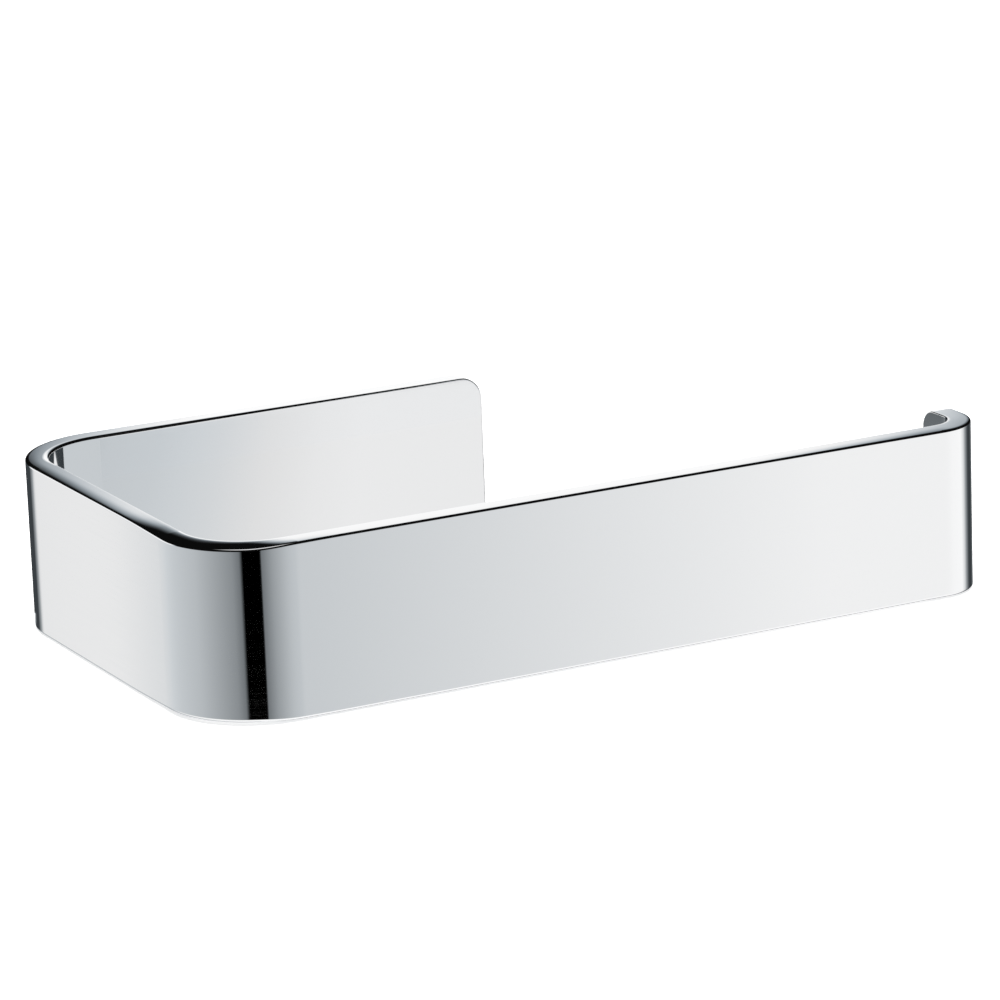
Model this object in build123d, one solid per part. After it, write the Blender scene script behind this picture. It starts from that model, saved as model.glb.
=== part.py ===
"""Wall-mounted toilet paper holder: one bent chromed bar on a concealed wall bracket.

Millimetres. X runs along the roll bar to its free end, Y points into the wall, Z is up.
The wall's surface is the plane y = 0, and the origin is midway between the two wall screws.
"""
from build123d import *
import os

# The bent bar
overall_width = 160.0        # outer face of the leg to outer face of the return lip
projection = 93.0            # wall to the front face of the roll bar
band_height = 32.0
band_thickness = 4.4
back_plate_length = 100.0    # outer face of the leg to the free end of the back plate
lip_depth = 16.5             # front face of the roll bar to the tip of the lip
rear_bend_radius = 18.4      # outer radii of the three bends
front_bend_radius = 17.0
lip_bend_radius = 9.4
plate_corner_radius = 4.5    # rounded corners of the two free ends
lip_corner_radius = 3.5
edge_radius = 0.5

# The concealed fixing
fixing_from_leg = 58.0       # outer face of the leg to the middle of the fixing
pocket_length = 60.0
pocket_depth = 3.0
pocket_top = 9.05
pocket_bottom = -10.5
pocket_corner_radius = 2.0
bracket_length = 56.0
bracket_height = 18.0
bracket_thickness = 2.5
bracket_corner_radius = 2.5
bracket_edge_break = 0.25
screw_spacing = 40.0
screw_hole_radius = 2.25
slot_travel = 4.0            # how far the slotted hole lets its screw move sideways
countersink_radius = 4.0
countersink_depth = countersink_radius - screw_hole_radius

# Wall screws, 4 x 35 mm, countersunk, cross recess
head_radius = 3.75
head_sink = 0.23             # top of the head below the bracket's face
screw_length = 35.0
screw_shank_radius = 2.0
screw_shank_length = 2.0     # plain shank under the head
screw_core_radius = 1.35
screw_pitch = 1.8
screw_point_length = 4.0
recess_width = 0.8
recess_span = 4.4
recess_depth = 1.9
recess_taper = 8.0           # degrees

# Wall plugs, 6 x 30 mm
plug_radius = 3.0
plug_bore_radius = 2.05
plug_length = 30.0
plug_collar_length = 9.0     # unsplit stretch next to the wall's surface
plug_nose_length = 3.0
plug_nose_taper = 0.5
plug_tooth_pitch = 3.0
plug_tooth_depth = 0.35
plug_slit_width = 0.8

# Set screws, M3 x 5, hexagon socket, cup point
set_screw_offset = 12.0      # from the middle of the fixing
set_screw_depth = 2.0        # axis in front of the wall's surface
set_screw_radius = 1.5
set_screw_root_radius = 1.2
set_screw_length = 5.0
set_screw_pitch = 0.5
set_screw_chamfer = 0.3
tapped_hole_radius = 1.55
tapped_hole_chamfer = 0.3
tapped_hole_runout = 0.4     # past the set screw's tip, grazing the pocket's floor
socket_across_flats = 1.5
socket_depth = 2.0
cup_radius = 0.75
cup_depth = 0.5

# Places worked out from the sizes above
leg_x = -fixing_from_leg
lip_x = leg_x + overall_width
plate_end_x = leg_x + back_plate_length
front_y = -projection
lip_tip_y = front_y + lip_depth
half_height = band_height / 2
bracket_bottom = -bracket_height / 2


def band_plan():
    """The closed plan outline of the bar, between its outer and its inner face."""
    t = band_thickness
    outer_radii = [rear_bend_radius, front_bend_radius, lip_bend_radius]
    inner_radii = [radius - t for radius in outer_radii]
    outer = FilletPolyline(
        (plate_end_x, 0), (leg_x, 0), (leg_x, front_y), (lip_x, front_y), (lip_x, lip_tip_y),
        radius=outer_radii,
    )
    inner = FilletPolyline(
        (plate_end_x, -t), (leg_x + t, -t), (leg_x + t, front_y + t), (lip_x - t, front_y + t),
        (lip_x - t, lip_tip_y),
        radius=inner_radii,
    )
    plate_end = Line(outer @ 0, inner @ 0)
    lip_tip = Line(outer @ 1, inner @ 1)
    return make_face([*outer.edges(), *inner.edges(), plate_end, lip_tip])


def bent_bar():
    """The solid bar with rounded corners at both free ends and every sharp edge eased."""
    bar = Pos(0, 0, -half_height) * extrude(band_plan(), band_height)
    across_plate = bar.edges().filter_by(Axis.Y)
    bar = fillet(across_plate.filter_by_position(Axis.X, plate_end_x, plate_end_x), plate_corner_radius)
    across_lip = bar.edges().filter_by(Axis.X)
    bar = fillet(across_lip.filter_by_position(Axis.Y, lip_tip_y, lip_tip_y), lip_corner_radius)

    def is_sharp(edge):
        """Seams where a bend or a corner runs on smoothly span the whole height or thickness."""
        spans_height = abs(edge.length - band_height) < 0.01
        spans_thickness = abs(edge.length - band_thickness) < 0.01
        return not (spans_height or spans_thickness)

    return fillet(bar.edges().filter_by(is_sharp), edge_radius)


def bracket_pocket():
    """The milled pocket in the back of the back plate."""
    height = pocket_top - pocket_bottom
    centre = Pos(0, -pocket_depth / 2, (pocket_top + pocket_bottom) / 2)
    block = centre * Box(pocket_length, pocket_depth, height)
    return fillet(block.edges().filter_by(Axis.Y), pocket_corner_radius)


def tapped_hole(x):
    """A set screw's hole, from the lower edge of the back plate up into the pocket."""
    depth = bracket_bottom + half_height + tapped_hole_runout
    mouth = Pos(x, -set_screw_depth, -half_height)
    hole = mouth * extrude(Circle(tapped_hole_radius), depth)
    lead_in = mouth * Cone(
        tapped_hole_radius + tapped_hole_chamfer, tapped_hole_radius, tapped_hole_chamfer,
        align=(Align.CENTER, Align.CENTER, Align.MIN),
    )
    return hole + lead_in


def holder_band():
    """The visible bar, with its pocket and its two tapped holes."""
    band = bent_bar() - bracket_pocket()
    for x in (-set_screw_offset, set_screw_offset):
        band -= tapped_hole(x)
    return band


def countersunk_cut(travel):
    """A countersunk screw hole that opens towards -Y, stretched along X by its travel."""
    across = 2 * screw_hole_radius
    wide = 2 * countersink_radius
    if travel:
        through = SlotOverall(across + travel, across)
        mouth = SlotOverall(wide + travel, wide)
    else:
        through = Circle(screw_hole_radius)
        mouth = Circle(countersink_radius)
    into_wall = Rot(X=-90)
    hole = into_wall * extrude(through, 2 * bracket_thickness)
    sink = into_wall * extrude(mouth, countersink_depth, taper=45)
    return Pos(0, -bracket_thickness, 0) * (hole + sink)


def wall_bracket():
    """The flat steel plate that the bar hangs on: one round hole and one slotted hole."""
    centre = Pos(0, -bracket_thickness / 2, 0)
    plate = centre * Box(bracket_length, bracket_thickness, bracket_height)
    plate = fillet(plate.edges().filter_by(Axis.Y), bracket_corner_radius)
    front = plate.faces().sort_by(Axis.Y)[0]
    plate = chamfer(front.edges(), bracket_edge_break)
    plate -= Pos(-screw_spacing / 2, 0, 0) * countersunk_cut(0)
    plate -= Pos(screw_spacing / 2, 0, 0) * countersunk_cut(slot_travel)
    return plate


def thread_profile(start, end, core, major, pitch, point_length=0.0):
    """Half-section points of a thread's ridges along +Z, tapered to nothing over the point."""

    def radius(value, z):
        if not point_length:
            return value
        return value * min(1.0, (end - z) / point_length)

    points = [(radius(core, start), start)]
    z = start
    while z + pitch < end - 0.1:
        for share, value in ((0.45, core), (0.72, major), (0.80, major), (1.0, core)):
            here = z + share * pitch
            points.append((radius(value, here), here))
        z += pitch
    return points


def cross_recess():
    """The tapered cross in a wall screw's head, cut from z = 0 upwards."""
    arm = Rectangle(recess_span, recess_width)
    other_arm = Rectangle(recess_width, recess_span)
    cut = extrude(arm, recess_depth, taper=recess_taper)
    return cut + extrude(other_arm, recess_depth, taper=recess_taper)


def wall_screw(x):
    """A countersunk wall screw, head flush in the bracket and point in the wall."""
    head_height = head_radius - screw_shank_radius
    thread_start = head_height + screw_shank_length
    shank = screw_shank_radius
    outline = [(0, 0), (head_radius, 0), (shank, head_height), (shank, thread_start)]
    outline += thread_profile(
        thread_start + 0.4, screw_length, screw_core_radius, shank, screw_pitch, screw_point_length,
    )
    outline.append((0, screw_length))
    half_section = make_face(Polyline(*outline, close=True))
    screw = revolve(Plane.XZ * half_section, Axis.Z) - cross_recess()
    return Pos(x, -bracket_thickness + head_sink, 0) * Rot(X=-90) * screw


def plug_profile():
    """Half-section points of a wall plug: plain collar, saw teeth, tapered nose."""
    nose_start = plug_length - plug_nose_length
    points = [(plug_bore_radius, 0), (plug_radius, 0), (plug_radius, plug_collar_length)]
    z = plug_collar_length
    while z + plug_tooth_pitch <= nose_start + 0.01:
        points.append((plug_radius - plug_tooth_depth, z + 0.2 * plug_tooth_pitch))
        points.append((plug_radius, z + 0.7 * plug_tooth_pitch))
        points.append((plug_radius, z + plug_tooth_pitch))
        z += plug_tooth_pitch
    nose_tip_radius = plug_radius - plug_nose_taper
    points += [(nose_tip_radius, plug_length), (plug_bore_radius, plug_length)]
    return points


def wall_plug(x):
    """A split nylon plug, its collar flush with the wall's surface."""
    body = revolve(Plane.XZ * make_face(Polyline(*plug_profile(), close=True)), Axis.Z)
    slit_length = plug_length - plug_nose_length - plug_collar_length
    slit_middle = Pos(0, 0, plug_collar_length + slit_length / 2)
    for turn in (45, 135):
        body -= slit_middle * Rot(Z=turn) * Box(3 * plug_radius, plug_slit_width, slit_length)
    return Pos(x, 0, 0) * Rot(X=-90) * body


def set_screw(x):
    """A set screw whose cup point bears on the lower edge of the bracket."""
    root = set_screw_root_radius
    end = set_screw_length
    ridges_end = end - set_screw_chamfer
    ridges = thread_profile(set_screw_chamfer, ridges_end, root, set_screw_radius, set_screw_pitch)
    outline = [(0, 0), (root, 0), *ridges, (root, end), (cup_radius, end), (0, end - cup_depth)]
    screw = revolve(Plane.XZ * make_face(Polyline(*outline, close=True)), Axis.Z)
    screw -= extrude(RegularPolygon(socket_across_flats / 2, 6, major_radius=False), socket_depth)
    return Pos(x, -set_screw_depth, bracket_bottom - set_screw_length) * screw


parts = {
    "holder_band": holder_band(),
    "wall_bracket": wall_bracket(),
}
for side, sign in (("left", -1), ("right", 1)):
    parts[f"wall_screw_{side}"] = wall_screw(sign * screw_spacing / 2)
    parts[f"wall_plug_{side}"] = wall_plug(sign * screw_spacing / 2)
    parts[f"set_screw_{side}"] = set_screw(sign * set_screw_offset)

os.makedirs("parts", exist_ok=True)
for name, shape in parts.items():
    export_step(shape, f"parts/{name}.step")
    size = shape.bounding_box().size
    print(f"{name}: {shape.volume:.1f} mm3, {size.X:.1f} x {size.Y:.1f} x {size.Z:.1f} mm")
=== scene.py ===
import math

import bmesh
import bpy
from mathutils import Matrix, Vector


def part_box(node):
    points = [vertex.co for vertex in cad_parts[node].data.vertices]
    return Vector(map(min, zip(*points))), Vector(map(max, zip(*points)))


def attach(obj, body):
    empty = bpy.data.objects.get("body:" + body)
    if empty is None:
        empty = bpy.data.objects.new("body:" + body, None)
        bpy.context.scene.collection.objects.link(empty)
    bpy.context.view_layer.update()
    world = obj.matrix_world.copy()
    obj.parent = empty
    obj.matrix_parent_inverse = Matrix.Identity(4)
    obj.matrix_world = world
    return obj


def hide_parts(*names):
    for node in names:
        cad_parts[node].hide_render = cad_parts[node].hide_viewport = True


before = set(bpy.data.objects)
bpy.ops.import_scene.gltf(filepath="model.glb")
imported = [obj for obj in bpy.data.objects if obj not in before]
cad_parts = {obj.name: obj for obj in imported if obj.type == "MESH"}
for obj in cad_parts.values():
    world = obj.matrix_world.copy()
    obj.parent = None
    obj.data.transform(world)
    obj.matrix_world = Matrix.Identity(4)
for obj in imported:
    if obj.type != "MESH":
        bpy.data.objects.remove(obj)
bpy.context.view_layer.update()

# The bar's sizes, in metres, as the CAD has them. What its box gives is read from there.
low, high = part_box("holder_band")
LEG_X = low.x
LIP_X = high.x
FRONT_Y = low.y
HALF_HEIGHT = high.z
THICKNESS = 0.0044
BACK_PLATE_LENGTH = 0.100
LIP_DEPTH = 0.0165
PLATE_END_X = LEG_X + BACK_PLATE_LENGTH
LIP_TIP_Y = FRONT_Y + LIP_DEPTH
PLATE_CORNER = 0.0045
LIP_CORNER = 0.0035

# Each bend: outer radius, and how far its curvature eases in and out of the flats.
REAR_BEND = (0.0184, 0.0015)
FRONT_BEND = (0.0170, 0.0015)
LIP_BEND = (0.0094, 0.0010)

# How finely the bar is divided
BEND_STEP = math.radians(1.0)
FLAT_STEP = 0.004
WALK_STEP = 0.00005
TANGENT_STEPS = 2000
END_TURNS = 10               # round each corner of the two free ends
EDGE_TURNS = 8               # round each long edge
EDGE_ROWS = 8                # over the flat of the narrow edge
EDGE_ZONE = 0.0024           # width of the band of rings round both broad faces
EDGE_GUARD = 0.0001          # from a long edge's rounding to the next ring on the broad face
FACE_ROWS = 8

# The outer edges
OUTER_EDGE = 0.0004          # their radius
# The crown: how far buffing lowers the narrow edge next to them, where it is crisp and where it is soft
CROWN_CRISP = 0.00001
CROWN_SOFT = 0.00007
CROWN_REACH = 0.0027         # how far across the narrow edge it goes
CROWN_LEG_LEAD = 0.020       # how long before the leg it turns soft, and how long that takes
CROWN_LEG_EASE = 0.022
CROWN_LIP_LEAD = 0.055       # the same before the lip's bend
CROWN_LIP_EASE = 0.040
CROWN_LIP_OVERRUN = 0.004    # how far into the lip's bend it stays soft
CROWN_END_EASE = 0.006       # how long it takes to turn crisp again
# The sag: how far the rear, front and lip's bends each pull the outer edge down
BEND_SAGS = (0.00002, 0.00038, 0.00006)
SAG_REACH = 0.0040           # how far across the narrow edge it goes
SAG_POWER = 1.25             # how it falls off on the way
SAG_LEAD = 0.016             # how long before a bend it starts, and how long it takes to grow
SAG_EASE_IN = 0.022
SAG_EASE_OUT = 0.010

# The inner edges
INNER_CRISP = 0.0002         # their radius, where they are crisp
INNER_SOFT = 0.0009          # at the rear bend: how far across the narrow edge they reach
INNER_SOFT_DROP = 0.0004     # and how far down the inner face
INNER_FADE = 0.008           # how long before the leg they start to turn crisp

SHARP_ANGLE = math.radians(32)

# The pocket and the tapped holes behind the back plate
POCKET_HALF = 0.030
POCKET_DEPTH = 0.003
POCKET_TOP = 0.00905
POCKET_BOTTOM = -0.0105
POCKET_CORNER = 0.002
SET_SCREW_OFFSET = 0.012
SET_SCREW_DEPTH = 0.002
TAPPED_RADIUS = 0.00155
TAPPED_END = -0.0086
TAPPED_LEAD = 0.0003
CUT_OVERRUN = 0.001          # how far the cutter stands out of the bar
CIRCLE_TURNS = 40


# ---------------------------------------------------------------- the bent bar

def smooth(t):
    """Eases from 0 to 1 as t goes from 0 to 1."""
    t = min(1.0, max(0.0, t))
    return t * t * (3 - 2 * t)


def bend_turn(along, radius, ease):
    """Share of a quarter turn made at a distance along a bend whose curvature ramps up and down."""
    arc = radius * math.pi / 2
    position = along - ease
    return (ramp_area(position, ease) - ramp_area(position - arc, ease)) / arc


def ramp_area(x, ease):
    """Distance turned at full curvature, for a curvature that ramps up linearly between -ease and ease."""
    if x <= -ease:
        return 0.0
    if x >= ease:
        return x
    return (x + ease) ** 2 / (4 * ease)


def bend_length(radius, ease):
    """Length of a bend along the outer face, with its easing."""
    return radius * math.pi / 2 + 2 * ease


def bend_tangent(radius, ease):
    """Distance from the corner that the flats point at to where the bend's easing starts."""
    step = bend_length(radius, ease) / TANGENT_STEPS
    reach = 0.0
    for i in range(TANGENT_STEPS):
        turned = bend_turn((i + 0.5) * step, radius, ease) * math.pi / 2
        reach += math.cos(turned) * step
    return reach


class BarPath:
    """The outer face of the bar in plan, walked from the back plate's free end to the lip's tip."""

    def __init__(self):
        self.bends = [REAR_BEND, FRONT_BEND, LIP_BEND]
        rear, front, lip = (bend_tangent(*bend) for bend in self.bends)
        self.flats = [
            PLATE_END_X - LEG_X - rear,
            -FRONT_Y - rear - front,
            LIP_X - LEG_X - front - lip,
            LIP_TIP_Y - FRONT_Y - lip,
        ]
        self.starts = []
        place = 0.0
        for flat, bend in zip(self.flats, self.bends):
            place += flat
            self.starts.append(place)
            place += bend_length(*bend)
        self.length = place + self.flats[-1]
        self.walk()

    def normal_angle(self, s):
        """Direction of the outward normal in plan: +Y at the back plate, turning anticlockwise."""
        turned = 0.0
        for start, bend in zip(self.starts, self.bends):
            turned += bend_turn(min(max(s - start, 0.0), bend_length(*bend)), *bend)
        return math.radians(90.0) * (1 + turned)

    def walk(self):
        """Adds up small steps along the heading, which is a quarter turn on from the normal."""
        count = round(self.length / WALK_STEP)
        self.step = self.length / count
        x, y = PLATE_END_X, 0.0
        self.points = [(x, y)]
        for i in range(count):
            heading = self.normal_angle((i + 0.5) * self.step) + math.pi / 2
            x += math.cos(heading) * self.step
            y += math.sin(heading) * self.step
            self.points.append((x, y))

    def place(self, s, depth, z):
        """The point at distance s along the bar, this deep below the outer face, at height z."""
        index = min(int(s / self.step), len(self.points) - 2)
        share = s / self.step - index
        ax, ay = self.points[index]
        bx, by = self.points[index + 1]
        angle = self.normal_angle(s)
        x = ax + (bx - ax) * share - math.cos(angle) * depth
        y = ay + (by - ay) * share - math.sin(angle) * depth
        return Vector((x, y, z))

    def bend_shares(self, s):
        """For each bend, 1 over most of it, easing in ahead of it and out over its last part."""
        shares = []
        for start, bend in zip(self.starts, self.bends):
            end = start + bend_length(*bend)
            grown = smooth((s - start + SAG_LEAD) / SAG_EASE_IN)
            shares.append(grown * smooth((end - s) / SAG_EASE_OUT))
        return shares

    def crown(self, s):
        """How far buffing lowers the edge: soft round the leg and before the lip, and crisp elsewhere."""
        rear_end = self.starts[0] + bend_length(*REAR_BEND)
        bar_start = self.starts[1] + bend_length(*FRONT_BEND)
        lip_start = self.starts[2]
        leg = smooth((s - rear_end + CROWN_LEG_LEAD) / CROWN_LEG_EASE)
        leg *= smooth((bar_start - s) / CROWN_END_EASE + 1.0)
        lip = smooth((s - lip_start + CROWN_LIP_LEAD) / CROWN_LIP_EASE)
        lip *= smooth((lip_start + CROWN_LIP_OVERRUN - s) / CROWN_END_EASE)
        return CROWN_CRISP + (CROWN_SOFT - CROWN_CRISP) * max(leg, lip)

    def inner_softness(self, s):
        """How soft the inner edge is: it softens along the back plate, and is crisp again at the leg."""
        rear_end = self.starts[0] + bend_length(*REAR_BEND)
        return smooth(s / self.starts[0]) * smooth((rear_end - s) / INNER_FADE)

    def stations(self):
        """Distances along the bar between its two rounded ends: close together in the bends."""
        marks = [PLATE_CORNER]
        for start, bend in zip(self.starts, self.bends):
            marks += evenly(marks[-1], start, FLAT_STEP)
            marks += evenly(start, start + bend_length(*bend), bend[0] * BEND_STEP)
        marks += evenly(marks[-1], self.length - LIP_CORNER, FLAT_STEP)
        return marks


def evenly(start, end, step):
    """Evenly spaced values after start, up to and including end."""
    count = max(1, math.ceil((end - start) / step))
    return [start + (end - start) * (i + 1) / count for i in range(count)]


def edge_profile(softness, crown, sag):
    """(inset, depth) pairs from the outer face over the narrow edge to the inner face.

    Inset is measured in from the bar's outline, and depth down from its outer face.
    """
    outer = []
    inner = []
    inner_reach = INNER_CRISP + (INNER_SOFT - INNER_CRISP) * softness
    inner_drop = INNER_CRISP + (INNER_SOFT_DROP - INNER_CRISP) * softness
    for i in range(EDGE_TURNS + 1):
        tilt = math.radians(90.0 * i / EDGE_TURNS)
        outer.append((OUTER_EDGE * (1 - math.sin(tilt)), OUTER_EDGE * (1 - math.cos(tilt))))
        theta = math.atan2(inner_drop * math.cos(tilt), inner_reach * math.sin(tilt))
        inset = inner_drop * (1 - math.sin(theta))
        rise = inner_reach * (1 - math.cos(theta))
        inner.append((inset, THICKNESS - rise))
    flat_length = THICKNESS - inner_reach - OUTER_EDGE
    flat = [(0.0, OUTER_EDGE + flat_length * i / EDGE_ROWS) for i in range(1, EDGE_ROWS)]
    lowered = []
    for inset, depth in [*outer, *flat, *inner]:
        inset += crown * max(0.0, 1 - depth / CROWN_REACH) ** 2
        inset += sag * max(0.0, 1 - depth / SAG_REACH) ** SAG_POWER
        lowered.append((inset, depth))
    outer_ring = OUTER_EDGE + crown + sag + EDGE_GUARD
    inner_ring = inner_drop + EDGE_GUARD
    return [
        (EDGE_ZONE, 0.0), (outer_ring, 0.0), *lowered, (inner_ring, THICKNESS), (EDGE_ZONE, THICKNESS),
    ]


def outline(path):
    """The bar's outline laid flat, in four runs of (s, z, ds, dz): a place and the way inwards from it."""
    marks = path.stations()
    top = [(s, HALF_HEIGHT, 0.0, -1.0) for s in marks]
    lip_end = end_outline(path.length, LIP_CORNER, -1.0)
    bottom = [(s, -HALF_HEIGHT, 0.0, 1.0) for s in reversed(marks)]
    plate_end = [(s, -z, ds, -dz) for s, z, ds, dz in end_outline(0.0, PLATE_CORNER, 1.0)]
    return top, lip_end, bottom, plate_end


def end_outline(end, corner, inward):
    """Points down one free end: a rounded corner, the straight and the other corner."""
    centre = end + inward * corner
    down = []
    for i in range(1, END_TURNS + 1):
        angle = math.radians(90.0 * i / END_TURNS)
        across = math.sin(angle)
        up = math.cos(angle)
        s = centre - inward * corner * across
        z = HALF_HEIGHT - corner + corner * up
        down.append((s, z, inward * across, -up))
    straight = HALF_HEIGHT - corner
    middle = [(end, z, inward, 0.0) for z in (straight / 2, 0.0, -straight / 2)]
    lower_corner = [(s, -z, ds, -dz) for s, z, ds, dz in reversed(down)]
    return down + middle + lower_corner


def band_mesh(path):
    """The bar as one closed mesh: rings of quads over its edge, and grids on both faces."""
    top, lip_end, bottom, plate_end = outline(path)
    loop = top + lip_end + bottom + plate_end
    mesh = bmesh.new()
    rings = None
    for s, z, ds, dz in loop:
        shares = path.bend_shares(s)
        sag = sum(most * share for most, share in zip(BEND_SAGS, shares))
        profile = edge_profile(path.inner_softness(s), path.crown(s), sag)
        column = [
            mesh.verts.new(path.place(s + ds * inset, depth, z + dz * inset))
            for inset, depth in profile
        ]
        rings = rings or [[] for _ in column]
        for ring, vert in zip(rings, column):
            ring.append(vert)
    count = len(loop)
    for ring, following in zip(rings, rings[1:]):
        for i in range(count):
            j = (i + 1) % count
            mesh.faces.new((ring[i], following[i], following[j], ring[j]))
    marks = [s for s, *_ in top]
    for ring, depth in ((rings[0], 0.0), (rings[-1], THICKNESS)):
        fill_face(mesh, path, ring, marks, depth, len(lip_end))
    bmesh.ops.recalc_face_normals(mesh, faces=mesh.faces)
    made = bpy.data.meshes.new("chrome_band")
    mesh.to_mesh(made)
    mesh.free()
    return made


def fill_face(mesh, path, ring, marks, depth, lip_count):
    """Fills one broad face: a column of quads at each station, and one flat polygon at each end."""
    count = len(marks)
    tops = ring[:count]
    lip_side = ring[count:count + lip_count]
    bottoms = ring[count + lip_count:2 * count + lip_count][::-1]
    plate_side = ring[2 * count + lip_count:]
    columns = []
    for s, upper, lower in zip(marks, tops, bottoms):
        inner = []
        for row in range(1, FACE_ROWS):
            z = upper.co.z + (lower.co.z - upper.co.z) * row / FACE_ROWS
            inner.append(mesh.verts.new(path.place(s, depth, z)))
        columns.append([upper, *inner, lower])
    for left, right in zip(columns, columns[1:]):
        for row in range(FACE_ROWS):
            mesh.faces.new((left[row], left[row + 1], right[row + 1], right[row]))
    mesh.faces.new([*columns[-1][::-1], *lip_side])
    mesh.faces.new([*columns[0], *plate_side])


def rounded_rectangle(half_width, bottom, top, corner):
    """Points round an upright rectangle with rounded corners, anticlockwise from the right."""
    points = []
    for quarter, (x, z) in enumerate((
        (half_width - corner, top - corner), (corner - half_width, top - corner),
        (corner - half_width, bottom + corner), (half_width - corner, bottom + corner),
    )):
        for i in range(EDGE_TURNS + 1):
            angle = math.radians(90.0 * (quarter + i / EDGE_TURNS))
            points.append((x + corner * math.cos(angle), z + corner * math.sin(angle)))
    return points


def add_prism(mesh, rings):
    """A closed solid through rings of points that all have the same count."""
    layers = [[mesh.verts.new(point) for point in ring] for ring in rings]
    count = len(layers[0])
    for below, above in zip(layers, layers[1:]):
        for i in range(count):
            j = (i + 1) % count
            mesh.faces.new((below[i], below[j], above[j], above[i]))
    mesh.faces.new(layers[0][::-1])
    mesh.faces.new(layers[-1])


def circle(x, y, z, radius):
    """Points round a level circle."""
    angles = (2 * math.pi * i / CIRCLE_TURNS for i in range(CIRCLE_TURNS))
    return [(x + radius * math.cos(a), y + radius * math.sin(a), z) for a in angles]


def cutter_mesh():
    """What the pocket and the two tapped holes take away from the bar."""
    mesh = bmesh.new()
    plan = rounded_rectangle(POCKET_HALF, POCKET_BOTTOM, POCKET_TOP, POCKET_CORNER)
    add_prism(mesh, [[(x, y, z) for x, z in plan] for y in (CUT_OVERRUN, -POCKET_DEPTH)])
    mouth = -HALF_HEIGHT
    sections = (
        (mouth - CUT_OVERRUN, TAPPED_RADIUS + TAPPED_LEAD),
        (mouth, TAPPED_RADIUS + TAPPED_LEAD),
        (mouth + TAPPED_LEAD, TAPPED_RADIUS),
        (TAPPED_END, TAPPED_RADIUS),
    )
    for x in (-SET_SCREW_OFFSET, SET_SCREW_OFFSET):
        add_prism(mesh, [circle(x, -SET_SCREW_DEPTH, z, radius) for z, radius in sections])
    bmesh.ops.recalc_face_normals(mesh, faces=mesh.faces)
    made = bpy.data.meshes.new("cutter")
    mesh.to_mesh(made)
    mesh.free()
    return made


def link(name, mesh):
    """A new object in the scene with this mesh."""
    made = bpy.data.objects.new(name, mesh)
    bpy.context.scene.collection.objects.link(made)
    return made


def settled_mesh(obj):
    """The object's mesh with its modifiers applied."""
    bpy.context.view_layer.update()
    evaluated = obj.evaluated_get(bpy.context.evaluated_depsgraph_get())
    return bpy.data.meshes.new_from_object(evaluated)


def chrome_band():
    """The bent bar, cut out behind for its bracket, with normals that follow the broad faces."""
    band = link("chrome_band", band_mesh(BarPath()))
    cutter = link("cutter", cutter_mesh())
    cut = band.modifiers.new("pocket", "BOOLEAN")
    cut.operation = "DIFFERENCE"
    cut.solver = "EXACT"
    cut.use_self = True
    cut.object = cutter
    band.data = settled_mesh(band)
    band.modifiers.clear()
    bpy.data.objects.remove(cutter)
    band.data.shade_smooth()
    band.data.set_sharp_from_angle(angle=SHARP_ANGLE)
    normals = band.modifiers.new("normals", "WEIGHTED_NORMAL")
    normals.keep_sharp = True
    normals.weight = 100
    return band


# ---------------------------------------------------------------- materials

class Graph:
    """Short calls for building a node tree."""

    def __init__(self, tree):
        self.tree = tree
        tree.nodes.clear()

    def node(self, kind, **values):
        made = self.tree.nodes.new(kind)
        for name, value in values.items():
            setattr(made, name, value)
        return made

    def join(self, source, target):
        self.tree.links.new(source, target)

    def put(self, value, target):
        """Sets a socket to a number or a colour, or links it to another socket."""
        if isinstance(value, (int, float, tuple)):
            target.default_value = value
        else:
            self.join(value, target)

    def calc(self, operation, *values):
        """One step of arithmetic."""
        made = self.node("ShaderNodeMath", operation=operation)
        for value, target in zip(values, made.inputs):
            self.put(value, target)
        return made.outputs[0]

    def ramp(self, source, *stops):
        """Colours along a source, as (place from 0 to 1, colour)."""
        ramp = self.node("ShaderNodeValToRGB")
        elements = ramp.color_ramp.elements
        while len(elements) < len(stops):
            elements.new(0.5)
        for element, (position, colour) in zip(elements, stops):
            element.position = position
            element.color = (*colour, 1.0)
        self.join(source, ramp.inputs[0])
        return ramp.outputs[0]


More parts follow.
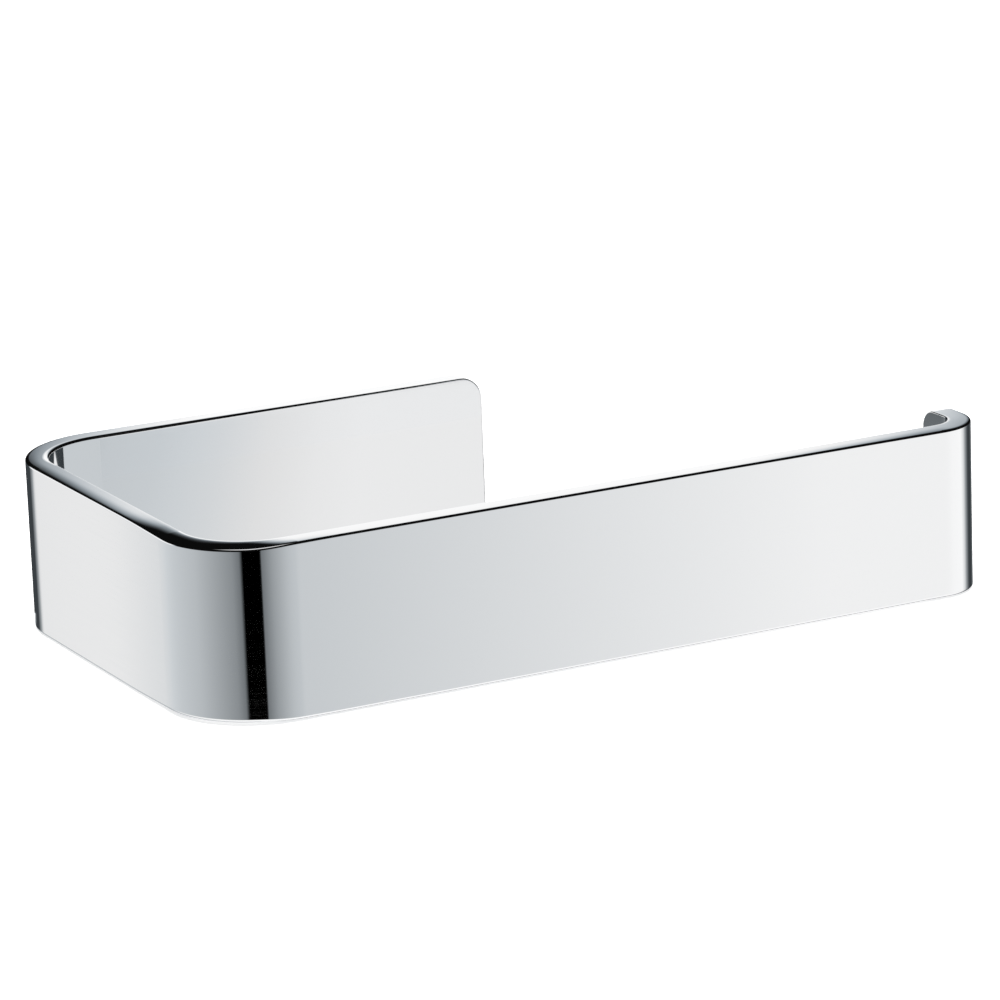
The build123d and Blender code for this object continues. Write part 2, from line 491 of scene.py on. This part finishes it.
class Nodes(Graph):
    """One material: its nodes, and the shader that they feed."""

    def __init__(self, name):
        self.material = bpy.data.materials.new(name)
        self.material.use_nodes = True
        super().__init__(self.material.node_tree)
        self.output = self.node("ShaderNodeOutputMaterial")
        self.use(self.node("ShaderNodeBsdfPrincipled"))
        self.place = self.node("ShaderNodeTexCoord").outputs["Object"]

    def use(self, shader):
        """Makes this the shader of the surface."""
        self.shader = shader
        self.join(shader.outputs[0], self.output.inputs["Surface"])

    def glow(self):
        """Turns the surface into one that only gives off light."""
        self.tree.nodes.remove(self.shader)
        self.use(self.node("ShaderNodeEmission"))

    def set(self, **values):
        """Sets the shader's own values."""
        for name, value in values.items():
            self.shader.inputs[name.replace("_", " ")].default_value = value

    def stretched(self, scale):
        """Places scaled by a different amount along each axis."""
        mapping = self.node("ShaderNodeMapping")
        mapping.inputs["Scale"].default_value = scale
        self.join(self.place, mapping.inputs["Vector"])
        return mapping.outputs[0]

    def noise(self, scale=1.0, detail=4.0, rough=0.5, stretch=None):
        """Noise of so many waves a metre, even or stretched."""
        noise = self.node("ShaderNodeTexNoise")
        noise.inputs["Scale"].default_value = scale
        noise.inputs["Detail"].default_value = detail
        noise.inputs["Roughness"].default_value = rough
        self.join(self.stretched(stretch) if stretch else self.place, noise.inputs["Vector"])
        return noise.outputs["Fac"]

    def spread(self, source, low_value, high_value, from_low=0.3, from_high=0.7):
        """Maps a source from one range to another. Noise keeps mostly between 0.3 and 0.7."""
        spread = self.node("ShaderNodeMapRange")
        for name, value in (("From Min", from_low), ("From Max", from_high),
                            ("To Min", low_value), ("To Max", high_value)):
            spread.inputs[name].default_value = value
        self.join(source, spread.inputs["Value"])
        return spread.outputs[0]

    def bump(self, source, depth, strength, under=None):
        """Relief of this depth in metres, on top of any relief under it."""
        bump = self.node("ShaderNodeBump")
        bump.inputs["Strength"].default_value = strength
        bump.inputs["Distance"].default_value = depth
        self.join(source, bump.inputs["Height"])
        if under is not None:
            self.join(under, bump.inputs["Normal"])
        return bump.outputs[0]

    def feed(self, **sources):
        """Links sources to the shader, and gives back the finished material."""
        for name, source in sources.items():
            self.join(source, self.shader.inputs[name.replace("_", " ")])
        return self.material


def polished_chrome():
    """Mirror chrome: a faint swell left by buffing, fine hairlines along the bar and plating grain."""
    made = Nodes("polished_chrome")
    made.set(Base_Color=(0.872, 0.876, 0.881, 1.0), Metallic=1.0)
    hairlines = made.noise(detail=3.0, rough=0.6, stretch=(60.0, 60.0, 5200.0))
    grain = made.noise(scale=2600.0, detail=2.0)
    swell = made.noise(scale=38.0, detail=1.0)
    rough = made.spread(hairlines, 0.018, 0.05)
    bump = made.bump(swell, depth=0.00002, strength=0.25)
    bump = made.bump(hairlines, depth=0.0000006, strength=0.5, under=bump)
    bump = made.bump(grain, depth=0.0000004, strength=0.5, under=bump)
    return made.feed(Roughness=rough, Normal=bump)


def brushed_steel():
    """Stamped stainless sheet, brushed along its length, with slightly dull patches."""
    made = Nodes("bracket_steel")
    made.set(Metallic=1.0)
    brush = made.noise(rough=0.65, stretch=(70.0, 3200.0, 3200.0))
    patches = made.noise(scale=160.0, detail=3.0)
    colour = made.ramp(brush, (0.3, (0.5, 0.5, 0.485)), (0.7, (0.7, 0.7, 0.68)))
    rough = made.spread(patches, 0.24, 0.4)
    bump = made.bump(brush, depth=0.000012, strength=0.6)
    return made.feed(Base_Color=colour, Roughness=rough, Normal=bump)


def zinc_plate():
    """Bright zinc with the faint blue and straw tints of its passivation."""
    made = Nodes("screw_steel")
    made.set(Metallic=1.0)
    tint = made.noise(scale=420.0, detail=2.0)
    grain = made.noise(scale=5200.0, detail=3.0)
    colour = made.ramp(
        tint, (0.3, (0.6, 0.64, 0.7)), (0.5, (0.69, 0.7, 0.7)), (0.7, (0.72, 0.69, 0.6)),
    )
    rough = made.spread(grain, 0.22, 0.38)
    bump = made.bump(grain, depth=0.000006, strength=0.5)
    return made.feed(Base_Color=colour, Roughness=rough, Normal=bump)


def moulded_nylon():
    """Grey nylon with a spark-eroded mould skin and faint flow marks along the plug."""
    made = Nodes("plug_nylon")
    made.set(Subsurface_Weight=0.08, Subsurface_Scale=0.0008, IOR=1.53)
    flow = made.noise(detail=2.0, stretch=(500.0, 90.0, 500.0))
    skin = made.noise(scale=3600.0, rough=0.6)
    colour = made.ramp(flow, (0.3, (0.43, 0.445, 0.46)), (0.7, (0.51, 0.52, 0.53)))
    rough = made.spread(skin, 0.42, 0.6)
    bump = made.bump(skin, depth=0.00003, strength=0.5)
    return made.feed(Base_Color=colour, Roughness=rough, Normal=bump)


def turned_steel():
    """Stainless set screw with the fine rings of its turning."""
    made = Nodes("set_screw_steel")
    made.set(Metallic=1.0)
    rings = made.noise(detail=3.0, rough=0.6, stretch=(300.0, 300.0, 9000.0))
    stain = made.noise(scale=600.0, detail=2.0)
    colour = made.ramp(stain, (0.3, (0.42, 0.42, 0.43)), (0.7, (0.55, 0.55, 0.55)))
    rough = made.spread(rings, 0.2, 0.36)
    bump = made.bump(rings, depth=0.000008, strength=0.6)
    return made.feed(Base_Color=colour, Roughness=rough, Normal=bump)


def floor_material():
    """Pale matt floor that faintly gives off light. It is clear from below, so it never hides the part."""
    made = Nodes("pale_floor")
    made.set(Roughness=0.9, Emission_Color=(1.0, 1.0, 1.0, 1.0), Emission_Strength=0.5)
    mottle = made.noise(scale=3.0, detail=2.0)
    made.feed(Base_Color=made.ramp(mottle, (0.3, (0.9, 0.9, 0.9)), (0.7, (0.93, 0.93, 0.93))))
    mix = made.node("ShaderNodeMixShader")
    made.join(made.node("ShaderNodeNewGeometry").outputs["Backfacing"], mix.inputs[0])
    made.join(made.shader.outputs[0], mix.inputs[1])
    made.join(made.node("ShaderNodeBsdfTransparent").outputs[0], mix.inputs[2])
    made.use(mix)
    return made.material


def dress(node, material):
    """Gives a CAD node its material."""
    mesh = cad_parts[node].data
    mesh.materials.clear()
    mesh.materials.append(material)


# ---------------------------------------------------------------- studio

# What the chrome sees round it below eye level, as (azimuth in degrees, tone from 0 to 1). Azimuths run
# anticlockwise from +X: dark walls on the right and behind, with a light strip between them, a pale wall on
# the left that darkens towards the camera, a black flag behind the camera, and a bright wall on the right
# in front.
STUDIO_WALLS = (
    (0, 0.59), (11, 0.28), (24, 0.20), (44, 0.43), (58.5, 0.45), (60.5, 0.82), (64, 0.82), (65.5, 0.24),
    (101, 0.24), (108, 0.60), (110.5, 0.86), (113.5, 0.838), (118, 0.828), (124, 0.812), (140, 0.779),
    (174, 0.725), (222, 0.55), (231, 0.45), (234.2, 0.0), (255.9, 0.0), (257.2, 0.45), (270, 0.61),
    (294, 0.765), (301, 0.94), (314, 0.96), (342, 0.97), (352, 0.85),
)
# The same lower down, where the rounded lower edges look
STUDIO_FEET = (
    (0, 0.5), (11, 0.24), (30, 0.24), (48, 0.96), (64, 0.96), (69, 0.7), (112, 0.7), (130, 0.9),
    (200, 0.98), (300, 1.0), (340, 0.96), (352, 0.7),
)
WALLS_TOP = (-6.0, 2.0)      # elevations between which the walls give way to the dark above
FEET_TOP = (-17.5, -21.0)    # and to what is at their feet
SOFTBOX_EDGE = (66.0, 78.0)  # the soft light overhead: where it starts, and where it is full
DARK_ABOVE = 0.004
SOFTBOX_GLOW = 0.9

# Soft-edged patches. Each side is (where it has faded out, where it is full), in degrees.
# A brighter strip at the left wall's rear end, too narrow for the tones above: its left and right side
STRIP = ((113.3, 112.6), (110.0, 112.5))
STRIP_TONE = 0.905
# The bright panels: left, right, lower and upper side
BACK_PANEL = ((69.8, 65.9), (54.2, 60.1), (-10.0, -5.0), (26.0, 14.0))
LEFT_PANEL = ((150.0, 138.0), (102.0, 112.0), (-12.0, -8.0), (14.0, 8.0))
PANEL_GLOW = ((0.25, (0.95, 1.07, 1.17)), (0.9, (1.08, 1.08, 1.08)))   # cooler towards their borders

CHROME_REFLECTS = 0.875      # share of the light that the chrome gives back
COOL_SHIFT = 0.018           # how far a grey's red falls below its green
COOL_BLUE = 0.7              # share of that by which its blue stands above
DEEPEST_COOL = 0.1           # tone from which a grey is fully cool
WHITE_START = 0.80           # tone at which it starts to turn neutral, and over how much it does
WHITE_EASE = 0.08


def linear(tone):
    """Scene brightness of a display tone."""
    return tone / 12.92 if tone <= 0.04045 else ((tone + 0.055) / 1.055) ** 2.4


def studio_colour(tone):
    """What has to be there for the chrome to show this tone: greys are cool and whites neutral."""
    cool = COOL_SHIFT * (1 - smooth((tone - WHITE_START) / WHITE_EASE)) * smooth(tone / DEEPEST_COOL)
    shifts = (-cool, 0.0, COOL_BLUE * cool)
    return tuple(linear(max(0.0, tone + shift)) / CHROME_REFLECTS for shift in shifts)


def grey(value):
    """A grey for a colour socket."""
    return (value, value, value, 1.0)


class Studio(Graph):
    """The world's nodes. What they show depends only on the direction that a ray leaves in."""

    def __init__(self, world):
        world.use_nodes = True
        super().__init__(world.node_tree)
        direction = self.node("ShaderNodeSeparateXYZ")
        self.join(self.node("ShaderNodeTexCoord").outputs["Generated"], direction.inputs[0])
        turn = self.calc("ARCTAN2", direction.outputs["Y"], direction.outputs["X"])
        self.turn_share = self.calc("FRACT", self.calc("DIVIDE", turn, 2 * math.pi))
        self.azimuth = self.calc("MULTIPLY", self.turn_share, 360.0)
        rise = self.calc("ARCSINE", direction.outputs["Z"])
        self.elevation = self.calc("MULTIPLY", rise, 180 / math.pi)

    def step(self, value, start, end):
        """Eases from 0 at start to 1 at end."""
        made = self.node("ShaderNodeMapRange", interpolation_type="SMOOTHSTEP")
        self.join(value, made.inputs["Value"])
        made.inputs["From Min"].default_value = start
        made.inputs["From Max"].default_value = end
        return made.outputs[0]

    def mixed(self, share, first, second):
        """The first colour where share is 0 and the second where it is 1."""
        made = self.node("ShaderNodeMix", data_type="RGBA")
        self.put(share, made.inputs[0])
        self.put(first, made.inputs[6])
        self.put(second, made.inputs[7])
        return made.outputs[2]

    def round_the_room(self, tones):
        """Tones set out round the horizon."""
        stops = [(degrees / 360, studio_colour(tone)) for degrees, tone in tones]
        return self.ramp(self.turn_share, *stops, (1.0, stops[0][1]))

    def between(self, angle, one_side, other_side):
        """A band of an angle: 1 inside, easing to 0 at both sides."""
        return self.calc("MULTIPLY", self.step(angle, *other_side), self.step(angle, *one_side))

    def panel(self, left, right, lower, upper):
        """Share of a soft-edged panel in each direction."""
        across = self.between(self.azimuth, left, right)
        up = self.between(self.elevation, upper, lower)
        return self.calc("MULTIPLY", across, up)

    def room(self):
        """The walls round the horizon, what is at their feet, and the dark above with its soft light."""
        above = self.mixed(self.step(self.elevation, *SOFTBOX_EDGE), grey(DARK_ABOVE), grey(SOFTBOX_GLOW))
        strip = self.between(self.azimuth, *STRIP)
        strip_colour = (*studio_colour(STRIP_TONE), 1.0)
        walls = self.mixed(strip, self.round_the_room(STUDIO_WALLS), strip_colour)
        upper = self.mixed(self.step(self.elevation, *WALLS_TOP), walls, above)
        return self.mixed(self.step(self.elevation, *FEET_TOP), upper, self.round_the_room(STUDIO_FEET))


def build_world():
    """The studio, as plain white to the camera and as walls, flags and bright panels to the chrome."""
    world = bpy.data.worlds.new("studio")
    bpy.context.scene.world = world
    made = Studio(world)
    panels = made.calc("MAXIMUM", made.panel(*BACK_PANEL), made.panel(*LEFT_PANEL))
    studio = made.mixed(panels, made.room(), made.ramp(panels, *PANEL_GLOW))
    seen = made.node("ShaderNodeLightPath").outputs["Is Camera Ray"]
    background = made.node("ShaderNodeBackground")
    made.join(made.mixed(seen, studio, grey(1.0)), background.inputs["Color"])
    made.join(background.outputs[0], made.node("ShaderNodeOutputWorld").inputs["Surface"])


FLOOR_HALF = 4.0
FLOOR_CELLS = 8
FLOOR_GAP = 0.0003           # below the part


def build_floor():
    """A pale floor just under the part. The chrome reflects the studio walls and not the floor."""
    mesh = bmesh.new()
    bmesh.ops.create_grid(mesh, x_segments=FLOOR_CELLS, y_segments=FLOOR_CELLS, size=FLOOR_HALF)
    made = bpy.data.meshes.new("floor")
    mesh.to_mesh(made)
    mesh.free()
    floor = link("floor", made)
    floor.location.z = low.z - FLOOR_GAP
    made.materials.append(floor_material())
    floor.visible_glossy = False


# The two level cards, just above the floor
CARD_GAP = 0.0002            # below the part
CARD_BACK = -0.003           # along Y, where the pale one ends and the dark one starts
PALE_CARD_RIM = 0.001        # how far the pale card stays inside the bar's outer faces
PALE_CARD_CUT = 0.014        # and inside its front corners
PALE_CARD_SLANT = 0.52
PALE_CARD_TONES = (
    (-0.060, 0.7), (-0.048, 0.78), (-0.036, 0.795), (-0.029, 0.815), (-0.021, 0.835), (-0.010, 0.872),
    (0.002, 0.903), (0.012, 0.916), (0.044, 0.916), (0.050, 0.3), (0.060, 0.22),
)
BAR_SIDE = (-0.058, -0.050)  # along Y, where the mirrored tones are full and where they have faded out
DARK_CARD_SIDES = (0.010, 0.075)
DARK_CARD_REACH = 0.060
DARK_CARD_TONES = ((0.0, 0.3), (0.08, 0.52))

# The upright card: it starts from where the rear bend runs out into the back plate
UPRIGHT_TONE = 0.79
UPRIGHT_FOOT_INSET = 0.0004  # how far its foot is set back from there towards the leg
UPRIGHT_GAP = 0.0001         # in front of the back plate, and below the part
UPRIGHT_SLANT = 0.415        # how far it leans towards +X for each step away from the back plate
UPRIGHT_START = 0.0028       # how far out from its foot it starts, and how far out it ends
UPRIGHT_END = 0.060


def only_in_chrome(made):
    """Marks a stage piece that only reflections show."""
    made.visible_camera = False
    made.visible_diffuse = False
    made.visible_shadow = False
    made.visible_transmission = False


def card(name, corners, material):
    """A level card just above the floor that only shows in the chrome."""
    mesh = bpy.data.meshes.new(name)
    mesh.from_pydata([(x, y, 0.0) for x, y in corners], [], [tuple(range(len(corners)))])
    mesh.materials.append(material)
    made = link(name, mesh)
    made.location.z = low.z - CARD_GAP
    only_in_chrome(made)


def card_material(name, slope, stops):
    """Light given off by a card, as (place along X, tone).

    The tones run aslant, by slope along X for each step along Y, so that the back plate's inner face
    reflects them upright. After a second bounce they are mirrored, and brighter by what the chrome took.
    """
    made = Nodes(name)
    made.glow()
    bounces = made.node("ShaderNodeLightPath").outputs["Glossy Depth"]
    start = stops[0][0]
    end = stops[-1][0]
    share = card_share(made, bounces, slope, start, end)
    colours = [((place - start) / (end - start), studio_colour(tone)) for place, tone in stops]
    strength = made.spread(bounces, 1.0, 1 / CHROME_REFLECTS, 1.0, 2.0)
    return made.feed(Color=made.ramp(share, *colours), Strength=strength)


def card_share(made, bounces, slope, start, end):
    """How far a place is along the card's tones: mirrored near the roll bar, after a second bounce."""
    plate_y = -THICKNESS
    mirrored_y = 2 * (FRONT_Y + THICKNESS) - plate_y
    shares = []
    for slant, line in ((slope, plate_y), (-slope, mirrored_y)):
        across = made.node("ShaderNodeVectorMath", operation="DOT_PRODUCT")
        across.inputs[1].default_value = (1.0, slant, 0.0)
        made.join(made.place, across.inputs[0])
        shift = slant * line
        shares.append(made.spread(across.outputs["Value"], 0.0, 1.0, start + shift, end + shift))
    where = made.node("ShaderNodeSeparateXYZ")
    made.join(made.place, where.inputs[0])
    second_bounce = made.spread(bounces, 0.0, 1.0, 1.0, 2.0)
    by_the_bar = made.spread(where.outputs["Y"], 1.0, 0.0, *BAR_SIDE)
    chosen = made.node("ShaderNodeMix")
    made.join(made.calc("MULTIPLY", second_bounce, by_the_bar), chosen.inputs[0])
    made.join(shares[0], chosen.inputs[2])
    made.join(shares[1], chosen.inputs[3])
    return chosen.outputs[0]


def pale_card():
    """The card inside the holder, which the back plate and the leg's inner face look at."""
    left = LEG_X + PALE_CARD_RIM
    right = LIP_X - PALE_CARD_RIM
    front = FRONT_Y + PALE_CARD_RIM
    cut = FRONT_Y + PALE_CARD_CUT
    corners = (
        (left, CARD_BACK), (left, cut), (LEG_X + PALE_CARD_CUT, front),
        (LIP_X - PALE_CARD_CUT, front), (right, cut), (right, CARD_BACK),
    )
    card("pale_card", corners, card_material("pale_card", PALE_CARD_SLANT, PALE_CARD_TONES))


def dark_card():
    """The card behind the holder, which the lip's inner face looks at."""
    left, right = DARK_CARD_SIDES
    corners = ((left, CARD_BACK), (right, CARD_BACK), (right, DARK_CARD_REACH), (left, DARK_CARD_REACH))
    card("dark_card", corners, card_material("dark_card", 0.0, DARK_CARD_TONES))


def upright_card():
    """A plain card in front of the rear bend, in line with what the back plate reflects to the camera."""
    made = Nodes("upright_card")
    made.glow()
    made.set(Color=(*studio_colour(UPRIGHT_TONE), 1.0))
    plate_start = LEG_X + REAR_BEND[0] + REAR_BEND[1]
    foot = Vector((plate_start - UPRIGHT_FOOT_INSET, -THICKNESS - UPRIGHT_GAP))
    along = Vector((UPRIGHT_SLANT, -1.0))
    start = foot + along * UPRIGHT_START
    end = foot + along * UPRIGHT_END
    base = low.z - UPRIGHT_GAP
    mesh = bpy.data.meshes.new("upright_card")
    mesh.from_pydata([(*start, base), (*end, base), (*end, high.z), (*start, high.z)], [], [(0, 1, 2, 3)])
    mesh.materials.append(made.material)
    only_in_chrome(link("upright_card", mesh))


LIGHT_SIZE = 3.0
LIGHT_POWER = 95.0
LIGHT_PLACE = (0.0, -0.4, 2.2)


def build_lights():
    """One wide soft light overhead for the floor, kept out of the chrome's reflections."""
    light = bpy.data.lights.new("overhead", "AREA")
    light.shape = "DISK"
    light.size = LIGHT_SIZE
    light.energy = LIGHT_POWER
    lamp = bpy.data.objects.new("overhead", light)
    bpy.context.scene.collection.objects.link(lamp)
    lamp.location = LIGHT_PLACE
    lamp.visible_glossy = False


CAMERA_AZIMUTH = math.radians(27.44)
CAMERA_TILT = math.radians(15.03)
CAMERA_ROLL = math.radians(2.07)
CAMERA_AIM = Vector((0.0487, -0.0077, -0.0088))
CAMERA_DISTANCE = 1.0
CAMERA_LENS = 184.1
CAMERA_SENSOR = 36.0
CAMERA_SHIFT = (-0.0238, -0.0028)


def build_camera():
    """The camera at the photograph's viewing angle."""
    across = Vector((math.cos(CAMERA_AZIMUTH), -math.sin(CAMERA_AZIMUTH), 0.0))
    ahead = Vector((
        math.sin(CAMERA_AZIMUTH) * math.cos(CAMERA_TILT),
        math.cos(CAMERA_AZIMUTH) * math.cos(CAMERA_TILT),
        -math.sin(CAMERA_TILT),
    ))
    up = across.cross(ahead)
    right = across * math.cos(CAMERA_ROLL) - up * math.sin(CAMERA_ROLL)
    up = right.cross(ahead)
    data = bpy.data.cameras.new("camera")
    data.lens = CAMERA_LENS
    data.sensor_width = CAMERA_SENSOR
    data.shift_x, data.shift_y = CAMERA_SHIFT
    data.dof.use_dof = False
    camera = bpy.data.objects.new("camera", data)
    bpy.context.scene.collection.objects.link(camera)
    turned = Matrix((right, up, -ahead)).transposed().to_4x4()
    camera.matrix_world = Matrix.Translation(CAMERA_AIM - ahead * CAMERA_DISTANCE) @ turned
    bpy.context.scene.camera = camera


# ---------------------------------------------------------------- the scene

band = chrome_band()
band.data.materials.clear()
band.data.materials.append(polished_chrome())
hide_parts("holder_band")
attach(band, "holder")

dress("wall_bracket", brushed_steel())
zinc = zinc_plate()
nylon = moulded_nylon()
stainless = turned_steel()
for side in ("left", "right"):
    dress(f"wall_screw_{side}", zinc)
    dress(f"wall_plug_{side}", nylon)
    dress(f"set_screw_{side}", stainless)

build_floor()
pale_card()
upright_card()
dark_card()
build_lights()
build_world()
build_camera()
bpy.context.scene.view_settings.view_transform = "Standard"
